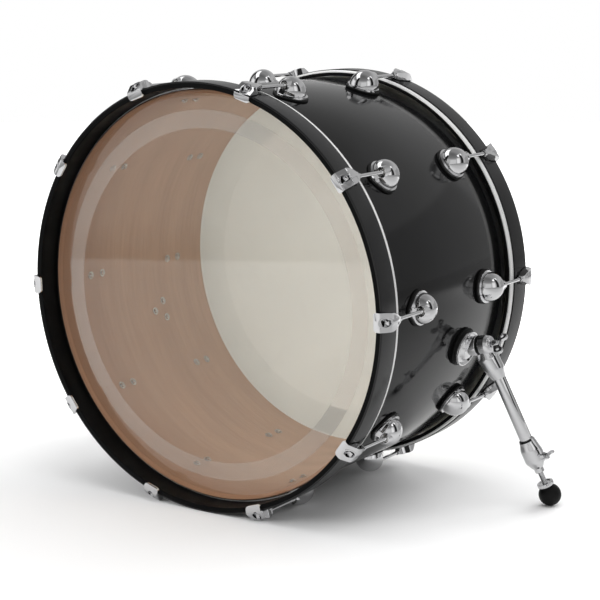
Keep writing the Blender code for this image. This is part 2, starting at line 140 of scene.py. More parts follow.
# screens on the floor that polished surfaces see: compass degrees, half width, sine of the top, brightness
SCREENS = (
    (62, 13, 0.80, 0.04),
    (25, 18, 0.50, 1.9),
    (122, 22, 0.40, 1.35),
    (160, 12, 0.60, 1.9),
    (190, 12, 0.80, 0.04),
    (238, 22, 0.34, 0.70),
    (342, 14, 0.70, 0.06),
)
# softboxes: the way to each from the drum, sines of half its width and depth, brightness
SOFTBOXES = (
    ((0.50, 0.10, 0.82), (0.44, 0.17), 1.2),
    ((-0.62, -0.05, 0.76), (0.26, 0.10), 1.1),
)
CAMERA_AT = (-1.4098, 1.9654, 0.6662)
CAMERA_WAY = (0.56607, -0.81007, -0.15281)
CAMERA_LENS = 94.3


# ---- materials ----
class Nodes:
    """Short hand for building the node tree of a material, or of the world."""

    def __init__(self, name, world=False):
        self.owner = (bpy.data.worlds if world else bpy.data.materials).new(name)
        self.owner.use_nodes = True
        self.tree = self.owner.node_tree
        self.tree.nodes.clear()
        self.output = self.add("OutputWorld" if world else "OutputMaterial")

    def add(self, kind, inputs=None, **settings):
        node = self.tree.nodes.new(f"ShaderNode{kind}")
        for key, value in settings.items():
            setattr(node, key, value)
        for key, value in (inputs or {}).items():
            self.put(node.inputs[key], value)
        return node

    def put(self, socket, value):
        if isinstance(value, bpy.types.NodeSocket):
            self.tree.links.new(value, socket)
        else:
            socket.default_value = value

    def surface(self, shader):
        self.tree.links.new(shader, self.output.inputs["Surface"])
        return self.owner

    def look(self, shader, slot):
        return self.surface(shader), slot

    def place(self, scale=(1, 1, 1)):
        """Coordinates in the piece's own metres, stretched by scale."""
        where = self.add("TexCoord")
        mapping = self.add("Mapping", {"Vector": where.outputs["Object"], "Scale": scale})
        return mapping.outputs["Vector"]

    def noise(self, place, scale, detail=3.0, roughness=0.5):
        settings = {"Vector": place, "Scale": scale, "Detail": detail, "Roughness": roughness}
        return self.add("TexNoise", settings).outputs["Fac"]

    def spread(self, value, low, high, to_low=0.0, to_high=1.0):
        """Value mapped from low..high to to_low..to_high."""
        settings = {"Value": value, "From Min": low, "From Max": high, "To Min": to_low, "To Max": to_high}
        return self.add("MapRange", settings).outputs["Result"]

    def blend_colour(self, share, first, second):
        node = self.add("Mix", data_type="RGBA")
        self.put(node.inputs["Factor"], share)
        self.put(node.inputs[6], first if isinstance(first, bpy.types.NodeSocket) else (*first, 1))
        self.put(node.inputs[7], second if isinstance(second, bpy.types.NodeSocket) else (*second, 1))
        return node.outputs[2]

    def mix_shaders(self, share, first, second):
        node = self.add("MixShader")
        self.put(node.inputs[0], share)
        self.put(node.inputs[1], first)
        self.put(node.inputs[2], second)
        return node.outputs[0]

    def dot(self, first, second):
        node = self.add("VectorMath", {0: first, 1: second}, operation="DOT_PRODUCT")
        return node.outputs["Value"]

    def maths(self, operation, first, second):
        node = self.add("Math", operation=operation)
        self.put(node.inputs[0], first)
        self.put(node.inputs[1], second)
        return node.outputs[0]

    def bump(self, height, strength, distance):
        settings = {"Height": height, "Strength": strength, "Distance": distance}
        return self.add("Bump", settings).outputs["Normal"]

    def principled(self, **inputs):
        settings = {name.replace("_", " "): value for name, value in inputs.items()}
        return self.add("BsdfPrincipled", settings).outputs["BSDF"]


def lacquer_material(name, dark, light, roughness, ripple, shine=0.5):
    """Black lacquer: faint cloudiness in the colour, fine orange peel, a few softer polishing marks."""
    n = Nodes(name)
    place = n.place()
    cloud = n.noise(place, 9.0, 4.0)
    colour = n.blend_colour(n.spread(cloud, 0.35, 0.65), (dark,) * 3, (light, light, 1.1 * light))
    peel = n.noise(place, 260.0, 2.0)
    wear = n.spread(n.noise(place, 22.0, 5.0, 0.6), 0.3, 0.7, roughness, roughness * 1.7)
    gloss = {"IOR": 1.5, "Specular_IOR_Level": shine, "Normal": n.bump(peel, ripple, 0.0002)}
    return n.look(n.principled(Base_Color=colour, Roughness=wear, **gloss), "black_lacquer")


def chrome_material(name, tint, roughness):
    """Plated chrome: near white metal, faint smudges, and a slight waviness of the casting below."""
    n = Nodes(name)
    place = n.place()
    smudge = n.noise(place, 60.0, 5.0, 0.62)
    rough = n.spread(smudge, 0.35, 0.75, roughness, roughness * 2.4)
    darker = tuple(0.93 * c for c in tint)
    colour = n.blend_colour(n.spread(n.noise(place, 35.0, 3.0), 0.3, 0.7), darker, tint)
    wave = n.bump(n.noise(place, 110.0, 1.0), 0.03, 0.0006)
    return n.look(n.principled(Base_Color=colour, Roughness=rough, Metallic=1.0, Normal=wave), "chrome")


def aluminium_material():
    """Rolled aluminium channel with fine lines along its length and a pale oxidised surface."""
    n = Nodes("flesh_hoop_aluminium")
    lines = n.noise(n.place((12, 900, 12)), 1.0, 3.0)
    rough = n.spread(lines, 0.3, 0.7, 0.24, 0.42)
    colour = n.blend_colour(lines, (0.90, 0.90, 0.89), (0.98, 0.98, 0.97))
    grooves = n.bump(lines, 0.25, 0.0001)
    shader = n.principled(Base_Color=colour, Roughness=rough, Metallic=0.45, Normal=grooves)
    return n.look(shader, "aluminium")


def rubber_material(name, shade):
    n = Nodes(name)
    place = n.place()
    grain = n.bump(n.noise(place, 1400.0, 2.0), 0.25, 0.0001)
    dust = n.spread(n.noise(place, 90.0, 4.0, 0.65), 0.45, 0.8)
    colour = n.blend_colour(dust, (shade,) * 3, (2.2 * shade,) * 3)
    rough = n.spread(dust, 0, 1, 0.42, 0.62)
    shader = n.principled(Base_Color=colour, Roughness=rough, Specular_IOR_Level=0.2, Normal=grain)
    return n.look(shader, "black_rubber")


def wood_material(name, light, dark, roughness):
    """Veneer with its grain running round the drum: long soft bands, fine fibres and short pores. Towards
    the batter edge it is painted darker and browner: painted shade, not a colour of the wood."""
    n = Nodes(name)
    bands = n.noise(n.place((3, 26, 3)), 1.0, 4.0, 0.55)
    fibres = n.noise(n.place((9, 520, 9)), 1.0, 5.0, 0.65)
    pores = n.noise(n.place((70, 1700, 70)), 1.0, 2.0)
    tone = n.blend_colour(n.spread(bands, 0.3, 0.7), dark, light)
    fibre_tone = n.blend_colour(n.spread(fibres, 0.42, 0.66, 0.0, 0.35), tone, tuple(0.72 * c for c in dark))
    pored = n.blend_colour(n.spread(pores, 0.66, 0.74, 0.0, 0.30), fibre_tone, tuple(0.5 * c for c in dark))
    along = n.add("SeparateXYZ", {0: n.place()}).outputs["Y"]
    # painted shade: the wood is darkened and browned towards the batter edge
    colour = n.blend_colour(n.spread(along, 0.05, 0.177, 0.0, 0.85), pored, (0.36, 0.175, 0.085))
    rough = n.spread(fibres, 0.3, 0.7, roughness, roughness + 0.12)
    relief = n.bump(fibres, 0.18, 0.0002)
    return n.look(n.principled(Base_Color=colour, Roughness=rough, Normal=relief), "black_lacquer")


def film_material(name, slot, clearness, tint, shade, translucency, gloss, mirrors=True):
    """Drumhead film: the clear share of the light goes straight through, the rest is scattered, under a
    gloss."""
    n = Nodes(name)
    place = n.place()
    cloud = n.noise(place, 14.0, 3.0)
    colour = n.blend_colour(n.spread(cloud, 0.3, 0.7), tuple(0.97 * c for c in shade), shade)
    ripple = n.bump(n.noise(place, 7.0, 2.0), 0.05, 0.002)
    rough = n.spread(n.noise(place, 40.0, 4.0), 0.3, 0.7, gloss, gloss * 1.5)
    body = n.principled(Base_Color=colour, Roughness=rough, Normal=ripple)
    back = n.add("BsdfTranslucent", {"Color": colour})
    scattered = n.mix_shaders(translucency, body, back.outputs["BSDF"])
    if clearness == 0:
        return n.look(scattered, slot)
    haze = n.spread(cloud, 0.3, 0.7, clearness - 0.005, clearness + 0.005)
    clear = n.add("BsdfTransparent", {"Color": (*tint, 1)})
    inside = n.mix_shaders(haze, scattered, clear.outputs["BSDF"])
    if not mirrors:
        return n.look(inside, slot)
    behind = n.add("NewGeometry").outputs["Backfacing"]
    index = n.spread(behind, 0, 1, FILM_INDEX, 1 / FILM_INDEX)
    shine = n.add("Fresnel", {"IOR": index})
    mirror = n.add("BsdfGlossy", {"Roughness": 0.02, "Normal": ripple})
    return n.look(n.mix_shaders(shine.outputs["Fac"], inside, mirror.outputs["BSDF"]), slot)


# ---- mesh helpers ----
def mesh_of(bm, name):
    bmesh.ops.remove_doubles(bm, verts=bm.verts, dist=1e-7)
    bmesh.ops.recalc_face_normals(bm, faces=bm.faces)
    mesh = bpy.data.meshes.new(name)
    bm.to_mesh(mesh)
    bm.free()
    mesh.shade_smooth()
    mesh.set_sharp_from_angle(angle=math.radians(35))
    return mesh


def rounded(outline, radius, steps=5, closed=True):
    """Outline of (x, y) points with every corner replaced by an arc. A point may carry its own radius."""
    points = []
    count = len(outline)
    for index, corner in enumerate(outline):
        here = Vector(corner[:2])
        own = corner[2] if len(corner) > 2 else radius
        if own == 0 or (not closed and index in (0, count - 1)):
            points.append(tuple(here))
            continue
        back = Vector(outline[index - 1][:2]) - here
        ahead = Vector(outline[(index + 1) % count][:2]) - here
        half_turn = back.angle(ahead) / 2
        reach = min(own / math.tan(half_turn), 0.49 * back.length, 0.49 * ahead.length)
        fillet = reach * math.tan(half_turn)
        centre = here + (back.normalized() + ahead.normalized()).normalized() * (fillet / math.sin(half_turn))
        first = here + back.normalized() * reach - centre
        last = here + ahead.normalized() * reach - centre
        sweep = first.angle_signed(last)
        for step in range(steps + 1):
            spoke = first.copy()
            spoke.rotate(Matrix.Rotation(-sweep * step / steps, 2))
            points.append(tuple(centre + spoke))
    return points


def square_to(direction):
    along = Vector(direction).normalized()
    helper = Vector((0, 0, 1)) if abs(along.z) < 0.9 else Vector((1, 0, 0))
    across = along.cross(helper).normalized()
    return across, along.cross(across)


def turned(profile, origin=(0, 0, 0), direction=(0, 1, 0), sides=48, closed=False):
    """Solid of revolution. profile is a list of (distance along the axis, radius)."""
    bm = bmesh.new()
    along = Vector(direction).normalized()
    across, beside = square_to(along)
    turns = [2 * math.pi * side / sides for side in range(sides)]
    rings = []
    for distance, radius in profile:
        centre = Vector(origin) + along * distance
        if radius < 1e-9:
            rings.append([bm.verts.new(centre)])
            continue
        spokes = [math.cos(turn) * across + math.sin(turn) * beside for turn in turns]
        rings.append([bm.verts.new(centre + radius * spoke) for spoke in spokes])
    pairs = list(zip(rings, rings[1:]))
    if closed:
        pairs.append((rings[-1], rings[0]))
    for first, second in pairs:
        for side in range(sides):
            after = (side + 1) % sides
            corners = [first[side % len(first)], first[after % len(first)]]
            corners += [second[after % len(second)], second[side % len(second)]]
            corners = list(dict.fromkeys(corners))
            if len(corners) > 2:
                bm.faces.new(corners)
    if not closed:
        for ring in (rings[0], rings[-1]):
            if len(ring) > 1:
                bm.faces.new(ring)
    return mesh_of(bm, "turned")


def upright(profile, sides=64, closed=False):
    """Solid of revolution about +Z through the origin."""
    return turned(profile, (0, 0, 0), (0, 0, 1), sides, closed)


def along_rod(profile, height, sides, closed=False):
    """Solid of revolution about the line along +Y at that height."""
    return turned(profile, (0, 0, height), (0, 1, 0), sides, closed)


def prism(outline, origin, flat_x, flat_y, depth):
    """Outline in the plane of flat_x and flat_y, extruded by depth along their normal."""
    bm = bmesh.new()
    flat_x = Vector(flat_x).normalized()
    flat_y = Vector(flat_y).normalized()
    face = bm.faces.new([bm.verts.new(Vector(origin) + p[0] * flat_x + p[1] * flat_y) for p in outline])
    grown = bmesh.ops.extrude_face_region(bm, geom=[face])
    moved = [item for item in grown["geom"] if isinstance(item, bmesh.types.BMVert)]
    bmesh.ops.translate(bm, verts=moved, vec=flat_x.cross(flat_y) * depth)
    return mesh_of(bm, "prism")


def sleeve(start, end, inner, outer, radius):
    """Closed profile of a ring or a tube from start to end along its axis."""
    return rounded([(start, inner), (start, outer), (end, outer), (end, inner)], radius, 2)


def slab(outline, start, depth):
    """Outline in the XY plane, extruded upwards from z = start."""
    return prism(outline, (0, 0, start), (1, 0, 0), (0, 1, 0), depth)


def across_x(outline, half):
    """Side view of (y, z) points, extruded along X by half to each side."""
    return prism(outline, (-half, 0, 0), (0, 1, 0), (0, 0, 1), 2 * half)


def rectangle(low, high, half):
    return [(low, -half), (high, -half), (high, half), (low, half)]


def new_object(name, data):
    thing = bpy.data.objects.new(name, data)
    bpy.context.scene.collection.objects.link(thing)
    return thing


def baked(base, steps, smooth_degrees=35):
    """A mesh with modifiers applied. Each step is a modifier's type and its settings."""
    thing = new_object("baking", base)
    helpers = []
    for kind, settings in steps:
        modifier = thing.modifiers.new(kind.lower(), kind)
        for key, value in settings.items():
            if isinstance(value, bpy.types.Mesh):
                value = new_object("helper", value)
                helpers.append(value)
            setattr(modifier, key, value)
    bpy.context.view_layer.update()
    evaluated = thing.evaluated_get(bpy.context.evaluated_depsgraph_get())
    result = bpy.data.meshes.new_from_object(evaluated)
    for extra in [thing, *helpers]:
        bpy.data.objects.remove(extra, do_unlink=True)
    result.shade_smooth()
    result.set_sharp_from_angle(angle=math.radians(smooth_degrees))
    return result


def joined(mesh, operation="UNION"):
    return ("BOOLEAN", {"operation": operation, "solver": "EXACT", "object": mesh})


def cut(mesh):
    return joined(mesh, "DIFFERENCE")


def common(mesh):
    return joined(mesh, "INTERSECT")


def bevelled(width, segments=3, degrees=32):
    settings = {"width": width, "segments": segments, "limit_method": "ANGLE", "harden_normals": False}
    settings.update({"angle_limit": math.radians(degrees), "use_clamp_overlap": True})
    return ("BEVEL", settings)


def add_piece(name, mesh, look, body, matrix=DRUM, node=None):
    """Puts a mesh on a body. look is its material and its slot, and the slot is not used; node is what it
    stands for.
    """
    material, slot = look
    thing = new_object(name, mesh)
    if not mesh.materials:
        mesh.materials.append(material)
    thing.matrix_world = matrix
    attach(thing, body)
    if node:
        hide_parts(node)


# ---- shell, heads and hoops ----
def add_round(name, profile, side, look, node=None, closed=True):
    """Profile of (place along the drum, radius) turned round the drum, mirrored for the resonant side."""
    mesh = turned([(side * along, radius) for along, radius in profile], sides=ROUND, closed=closed)
    add_piece(name, mesh, look, BODY, node=node)


def make_shell():
    """Wooden plies with bevelled bearing edges, in a skin of lacquer."""
    inner = SHELL_RADIUS - SHELL_WALL
    core = SHELL_RADIUS - LACQUER
    crown = SHELL_RADIUS - 0.0022
    slope = crown - inner
    half = [
        (0.0, inner),
        (SHELL_HALF - slope, inner),
        (SHELL_HALF - 0.0006, crown - 0.0006),
        (SHELL_HALF, crown),
        (SHELL_HALF - 0.0004, crown + 0.0006),
        (SHELL_HALF - 0.0014, core),
        (0.0, core),
    ]
    wood = half + [(-along, radius) for along, radius in reversed(half[1:-1])]
    wood_look = wood_material("shell_maple", (0.71, 0.475, 0.32), (0.60, 0.395, 0.26), 0.45)
    add_round("shell_plies", wood, 1, wood_look, "shell")
    end = SHELL_HALF - 0.0016
    skin = rounded([(-end, core), (-end, SHELL_RADIUS), (end, SHELL_RADIUS), (end, core)], 0.0003, 2)
    gloss = lacquer_material("shell_black_lacquer", 0.0035, 0.006, 0.07, 0.05)
    add_round("shell_lacquer", skin, 1, gloss, "shell")


def make_head(name, side, film_look, ring_look, rim_looks, ring_outer):
    """Film with a collar bent over the bearing edge, the muffling ring under it, and the metal channel that
    holds the collar in resin. The resin band is near black to paint in the dark gap between shell and
    flesh hoop: part resin, part painted shade."""
    rim_look, resin_and_shade_look = rim_looks
    outer = FILM_FACE
    inside = outer - FILM
    edge = SHELL_RADIUS + 0.0009
    flare = 0.0002
    collar_end = HOOP_REAR - 0.5 * FLESH_HOOP_WIDTH
    over = rounded([(outer, 0.0), (outer, edge), (collar_end, edge + flare)], 0.0028, 10, closed=False)
    under = [(inside, 0.0), (inside, edge - FILM), (collar_end, edge - FILM + flare)]
    under = rounded(under, 0.0026, 10, closed=False)
    rings = (0.1, 0.2, 0.28)
    over_rings = [(outer, radius) for radius in rings]
    under_rings = [(inside, radius) for radius in reversed(rings)]
    profile = [over[0], *over_rings, *over[1:], *reversed(under[1:]), *under_rings, under[0]]
    add_round(f"{name}_head_skin", profile, side, film_look, f"{name}_head_film", closed=False)
    top = inside - 0.0001
    bottom = top - 0.00025
    ring = [(top, RING_INNER), (top, ring_outer), (bottom, ring_outer), (bottom, RING_INNER)]
    add_round(f"{name}_head_muffle_ring", ring, side, ring_look)
    front = HOOP_REAR - 0.0001
    rear = front - FLESH_HOOP_WIDTH
    inner = edge + 0.0004
    channel = [
        (front, inner),
        (front, FLESH_HOOP_RADIUS, 0.0020),
        (rear, FLESH_HOOP_RADIUS, 0.0030),
        (rear, inner + 0.0012, 0.0006),
        (rear + 0.0016, inner, 0.0004),
    ]
    add_round(f"{name}_flesh_hoop", rounded(channel, 0.0004, 4), side, rim_look, f"{name}_head_rim")
    # resin band: part real resin, part painted shade for the dark gap between shell and flesh hoop
    low = inner + 0.0008
    high = FLESH_HOOP_RADIUS - 0.0034
    sunk = rear + 0.001
    proud = rear - 0.0005
    resin = rounded([(sunk, low), (proud, low), (proud, high), (sunk, high)], 0.0003, 2)
    add_round(f"{name}_flesh_hoop_resin_and_shade", resin, side, resin_and_shade_look)


def make_hoop(name, side, gloss, satin):
    """Wooden hoop: satin black in front and inside, with gloss lacquer outside and over the front corner."""
    inner = HOOP_RADIUS - HOOP_THICKNESS
    core = HOOP_RADIUS - 0.0005
    lip = core - 0.0020
    step = HOOP_FRONT - 0.0026
    rear = HOOP_REAR - 0.0001
    seam = 0.0001
    plies = [
        (HOOP_FRONT, inner, 0.0012),
        (HOOP_FRONT, lip - seam, 0),
        (step - seam, lip - seam, 0),
        (step - seam, core - seam, 0),
        (HOOP_REAR, core - seam, 0),
        (HOOP_REAR, inner, 0.0006),
    ]
    add_round(f"{name}_hoop_plies", rounded(plies, 0.001, 5), side, satin, f"{name}_hoop")
    skin = [
        (HOOP_FRONT, lip, 0),
        (HOOP_FRONT, HOOP_RADIUS, 0.0019),
        (rear, HOOP_RADIUS, 0.0004),
        (rear, core, 0),
        (step, core, 0),
        (step, lip, 0),
    ]
    add_round(f"{name}_hoop_lacquer", rounded(skin, 0.001, 6), side, gloss, f"{name}_hoop")


def make_heads_and_hoops():
    # the near black rubber of the resin band also paints the shade in the gap between shell and flesh hoop
    rim_looks = (aluminium_material(), rubber_material("flesh_hoop_resin_and_shade", 0.003))
    films = (
        ("clear_head_film", "clear_film", 0.965, (0.98, 0.97, 0.96), (0.72, 0.68, 0.62), 0.4, 0.10),
        ("frosted_ring_film", "clear_film", 0.84, (0.99, 0.985, 0.98), (0.97, 0.95, 0.93), 0.4, 0.35, False),
        ("white_head_film", "white_film", 0, (1, 1, 1), (0.87, 0.885, 0.85), 0.5, 0.25),
        ("white_ring_film", "white_film", 0.995, (0.999, 0.997, 0.995), (0.80, 0.78, 0.72), 0.5, 0.4, False),
    )
    clear, clear_ring, white, white_ring = (film_material(*settings) for settings in films)
    make_head("batter", 1, clear, clear_ring, rim_looks, RING_OUTER)
    make_head("reso", -1, white, white_ring, rim_looks, SHELL_RADIUS - SHELL_WALL - 0.001)
    hoop_look = lacquer_material("hoop_black_lacquer", 0.004, 0.008, 0.16, 0.08)
    satin = lacquer_material("hoop_satin_black", 0.0012, 0.0024, 0.36, 0.08, 0.1)
    make_hoop("batter", 1, hoop_look, satin)
    make_hoop("reso", -1, hoop_look, satin)


# ---- lugs ----
def around_drum(angle, side, along, radius):
    """Frame on the drum: +Z out of the shell at that angle, +Y towards the side's own hoop."""
    turn = Matrix.Rotation(math.radians(angle), 4, "Y")
    facing = Matrix.Rotation(0 if side > 0 else math.pi, 4, "Z")
    return DRUM @ turn @ Matrix.Translation((0, side * along, radius)) @ facing


def flange_outline(radius, tip, tip_radius):
    """Round behind, and drawn in along straight sides to a rounded tip ahead."""
    turn_in = math.acos((radius - tip_radius) / tip)
    points = []
    for step in range(61):
        turn = turn_in + (2 * math.pi - 2 * turn_in) * step / 60
        points.append((radius * math.sin(turn), radius * math.cos(turn)))
    for step in range(1, 16):
        turn = -turn_in + 2 * turn_in * step / 16
        points.append((tip_radius * math.sin(turn), tip + tip_radius * math.cos(turn)))
    return points


def on_shell(mesh, lift):
    """Bends a flat pad that lies on z = 0 round the shell, so that its underside follows it."""
    for vertex in mesh.vertices:
        drop = SHELL_RADIUS - math.sqrt(SHELL_RADIUS ** 2 - vertex.co.x ** 2)
        vertex.co.z += lift - drop
    return mesh


def lug_casing_mesh():
    """Teardrop flange under a dome, with a round nose on the hoop's side where the rod goes in."""
    plate = slab(flange_outline(*LUG_FLANGE), 0.0030, 0.0028)
    rise = LUG_DOME_TOP - LUG_SHOULDER
    profile = [(0.0040, LUG_DOME_RADIUS)]
    for step in range(25):
        lean = math.radians(90 * step / 24)
        profile.append((LUG_SHOULDER + rise * math.sin(lean), LUG_DOME_RADIUS * math.cos(lean)))
    dome = upright(profile, 96)
    for vertex in dome.vertices:
        vertex.co.y += 0.0008 + 0.10 * max(0.0, vertex.co.z - LUG_SHOULDER)
    nose = [(0.0, 0.0, 0), (0.0, 0.0112, 0), (LUG_FLAT, 0.0077, 0.0012), (LUG_FLAT, 0.0, 0)]
    nose = along_rod(rounded(nose, 0.001, 4, closed=False), ROD_ON_LUG, 64)
    web = across_x([(0.0, 0.004), (0.0272, 0.004), (0.0222, 0.0150), (0.0, 0.0150)], 0.0046)
    recess = along_rod([(LUG_FLAT - 0.0026, 0.0058), (0.04, 0.0058)], ROD_ON_LUG, 40)
    hole = along_rod([(-0.012, 0.0036), (0.04, 0.0036)], ROD_ON_LUG, 32)
    steps = [joined(dome), joined(web), joined(nose), cut(recess), cut(hole), bevelled(0.0006, 3, 30)]
    return baked(plate, steps, 40)


def gasket_mesh():
    pad = slab(flange_outline(*LUG_GASKET), 0.0, 0.0030)
    return on_shell(baked(pad, [bevelled(0.0007, 2)]), GAP)


def swivel_nut_mesh():
    end = LUG_FLAT - 0.0010
    return along_rod(sleeve(end - 0.004, end, 0.0031, 0.0052, 0.0005), ROD_ON_LUG, 32, closed=True)


def screw_mesh():
    """Pan head with a cross recess, lying under z = 0 with its head pointing to -Z."""
    head = [(0.0, SCREW_RADIUS), (0.35 * SCREW_HEIGHT, SCREW_RADIUS)]
    for step in range(1, 7):
        lean = math.radians(90 * step / 6)
        head.append(((0.35 + 0.65 * math.sin(lean)) * SCREW_HEIGHT, SCREW_RADIUS * math.cos(lean)))
    slot_half = 0.16 * SCREW_RADIUS
    reach = 0.62 * SCREW_RADIUS
    arms = (rectangle(-slot_half, slot_half, reach), rectangle(-reach, reach, slot_half))
    steps = [cut(slab(arm, -1.2 * SCREW_HEIGHT, 0.75 * SCREW_HEIGHT)) for arm in arms]
    return baked(turned(head, (0, 0, 0), (0, 0, -1), 28), steps)


def washer_mesh():
    ring = sleeve(0.0, WASHER_THICKNESS, 0.002, WASHER_RADIUS, 0.0003)
    return turned(ring, (0, 0, 0), (0, 0, -1), 32, closed=True)


def add_screw(label, mark, screw, washer, steel, at):
    """Screw on its washer, on the wall inside the shell."""
    add_piece(f"{label}_washer{mark}", washer, steel, BODY, at)
    head_at = at @ Matrix.Translation((0, 0, -WASHER_THICKNESS - 0.0001))
    add_piece(f"{label}_screw{mark}", screw, steel, BODY, head_at)


def make_lugs(chrome, rubber, steel):
    casing = lug_casing_mesh()
    gasket = gasket_mesh()
    nut = swivel_nut_mesh()
    screw = screw_mesh()
    washer = washer_mesh()
    for name, side in (("batter", 1), ("reso", -1)):
        for number in range(1, LUGS + 1):
            label = f"{name}_lug_{number:02d}"
            at = around_drum(FIRST_ANGLE + (number - 1) * 360 / LUGS, side, LUG_AXIAL, SHELL_RADIUS)
            add_piece(f"{label}_casing", casing, chrome, BODY, at, node=label)
            add_piece(f"{label}_gasket", gasket, rubber, BODY, at, node=label)
            add_piece(f"{label}_swivel_nut", nut, steel, BODY, at)
            for mark, along in (("front", SCREW_SPACING), ("rear", -SCREW_SPACING)):
                under = at @ Matrix.Translation((0, along, -SHELL_WALL - GAP))
                add_screw(f"{label}_{mark}", "", screw, washer, steel, under)


# ---- claws and key rods ----
def claw_roof(lift=0.0):
    """The claw's top seen from the side, from its front corner back to its rear."""
    return [
        (CLAW_FRONT, lift, 0.0040 if lift == 0 else 0),
        (-0.0065, 0.0124 + lift, 0.0050),
        (-0.0170, 0.0130 + lift, 0.0060),
        (CLAW_REAR, 0.0108 + lift, 0.0012 if lift == 0 else 0),
    ]


def claw_mesh():
    """Hook over the hoop's front edge: an arched plate with a hooded round socket for the drum key, tapering
    back to the collar."""
    wide = 0.02  # more than the claw's half width
    edge = 0.0007  # clearances to the hoop's front and outside
    floor = 0.0010
    side_view = [
        (0.0042, CLAW_LIP_END, 0.0014),
        *claw_roof(),
        (CLAW_REAR, 0.0012, 0.0012),
        (edge, floor, 0.0006),
        (edge, CLAW_LIP_END, 0.0006),
    ]
    right_side = [
        (CLAW_HALF, 0.0070, 0),
        (CLAW_HALF, -0.0010, 0.008),
        (0.0124, -0.0120, 0.02),
        (0.0086, -0.0220, 0.02),
        (0.0048, -0.0275, 0.006),
        (0.0044, -0.0330, 0),
    ]
    left_side = [(-beside, along, radius) for beside, along, radius in reversed(right_side)]
    plan = rounded(right_side + left_side, 0.002, 5)
    front = [(CLAW_HALF, 0.02, 0), (CLAW_HALF, CLAW_LIP_END)]
    front = rounded(front + [(-CLAW_HALF, CLAW_LIP_END), (-CLAW_HALF, 0.02, 0)], 0.0058, 7)
    hood = [(-0.0305, 0.0040, 0), (-0.0200, 0.0072, 0.010), (0.0100, 0.0075, 0)]
    hood = along_rod(rounded(hood, 0.001, 5, closed=False), ROD_ABOVE_HOOP, 40)
    lift = 0.0007  # the hood stands this far proud of the roof
    rear_top = 0.0108 + lift
    under_roof = [(0.02, -0.02, 0), (CLAW_FRONT + 2 * lift, 0.0, 0), *claw_roof(lift)]
    under_roof += [(-0.05, rear_top, 0), (-0.05, -0.02, 0)]
    socket = baked(hood, [common(across_x(rounded(under_roof, 0.001, 4), wide))])
    key_way = along_rod([(-0.0125, KEY_SOCKET), (0.010, KEY_SOCKET)], ROD_ABOVE_HOOP, 36)
    rod_hole = along_rod([(-0.05, 0.0033), (0.010, 0.0033)], ROD_ABOVE_HOOP, 24)
    hoop_space = [(-0.05, -0.02), (edge, -0.02), (edge, floor), (-0.05, floor)]
    steps = [
        common(prism(front, (0, 0.01, 0), (1, 0, 0), (0, 0, 1), 0.08)),
        common(slab(plan, -0.02, 0.06)),
        joined(socket),
        cut(across_x(hoop_space, wide)),
        cut(key_way),
        cut(rod_hole),
        bevelled(0.0007, 3, 32),
    ]
    return baked(across_x(rounded(side_view, 0.001, 4), wide), steps, 38)


def claw_collar_mesh():
    profile = rounded([(-0.0358, 0.0034), (-0.0358, 0.0041), (-0.0300, 0.0043), (-0.0300, 0.0034)], 0.0007, 3)
    return along_rod(profile, ROD_ABOVE_HOOP, 36, closed=True)


def hoop_pad_mesh():
    """Thin pad between claw and hoop: over the top and down the front."""
    outline = [
        (0.0005, -0.0075),
        (0.0005, 0.0008),
        (-0.0285, 0.0008),
        (-0.0285, 0.0002),
        (0.00015, 0.0002),
        (0.00015, -0.0075),
    ]
    return across_x(outline, 0.0095)


def thread(start, length, pitch, root, crest):
    """Profile of a thread, root and crest in turn."""
    points = []
    for turn in range(int(length / pitch)):
        base = start + turn * pitch
        points += [(base, root), (base + 0.5 * pitch, crest)]
    return points


def rod_mesh():
    """Key rod: shank with rolled threads at its inner end, a round collar and a square key head."""
    thread_start = -0.122
    thread_end = -0.088
    shank_radius = 0.0027
    collar = (-0.0125, -0.0105, 0.0046)
    profile = [(thread_start, 0.0), (thread_start, 0.0022)]
    profile += thread(thread_start + 0.0005, thread_end - thread_start, 0.00106, 0.00245, ROD_RADIUS)
    profile += [(thread_end + 0.001, shank_radius), (collar[0], shank_radius), (collar[0], collar[2])]
    profile += [(collar[1], collar[2]), (collar[1], 0)]
    shank = along_rod(profile, ROD_ABOVE_HOOP, 20)
    square = rounded(rectangle(-0.0031, 0.0031, 0.0031), 0.0006, 3)
    key = prism(square, (0, -0.0108, ROD_ABOVE_HOOP), (0, 0, 1), (1, 0, 0), 0.0092)
    return baked(shank, [joined(baked(key, [bevelled(0.0005, 2)]))])


def make_claws(chrome, rubber):
    claw = claw_mesh()
    collar = claw_collar_mesh()
    pad = hoop_pad_mesh()
    rod = rod_mesh()
    for name, side in (("batter", 1), ("reso", -1)):
        for number in range(1, LUGS + 1):
            body = f"{name}_claw_rod_{number:02d}"
            at = around_drum(FIRST_ANGLE + (number - 1) * 360 / LUGS, side, HOOP_FRONT, HOOP_RADIUS)
            label = f"{name}_{number:02d}"
            add_piece(f"{label}_claw", claw, chrome, body, at, node=body)
            add_piece(f"{label}_claw_collar", collar, chrome, body, at)
            add_piece(f"{label}_claw_pad", pad, rubber, body, at)
            add_piece(f"{label}_key_rod", rod, chrome, body, at, node=body)


# ---- spurs ----
def frame_along(origin, way, beside):
    """Frame at origin with +Z along way and +X as near to beside as it can be."""
    z = Vector(way).normalized()
    x = (Vector(beside) - Vector(beside).dot(z) * z).normalized()
    return Matrix.Translation(origin) @ Matrix((x, z.cross(x), z)).transposed().to_4x4()


def bracket_base_mesh():
    """Round chrome dish with a raised rim and a boss in the middle; +Z out of the shell."""
    profile = [
        (0.0036, 0.0, 0),
        (0.0046, 0.0262, 0.0008),
        (0.0080, 0.0276, 0.0012),
        (0.0116, 0.0272, 0.0009),
        (0.0114, 0.0252, 0.0009),
        (0.0078, 0.0226, 0.0020),
        (0.0086, 0.0178, 0.0030),
        (0.0140, 0.0150, 0.0020),
        (0.0146, 0.0, 0),
    ]
    return upright(rounded(profile, 0.001, 5, closed=False), 72)


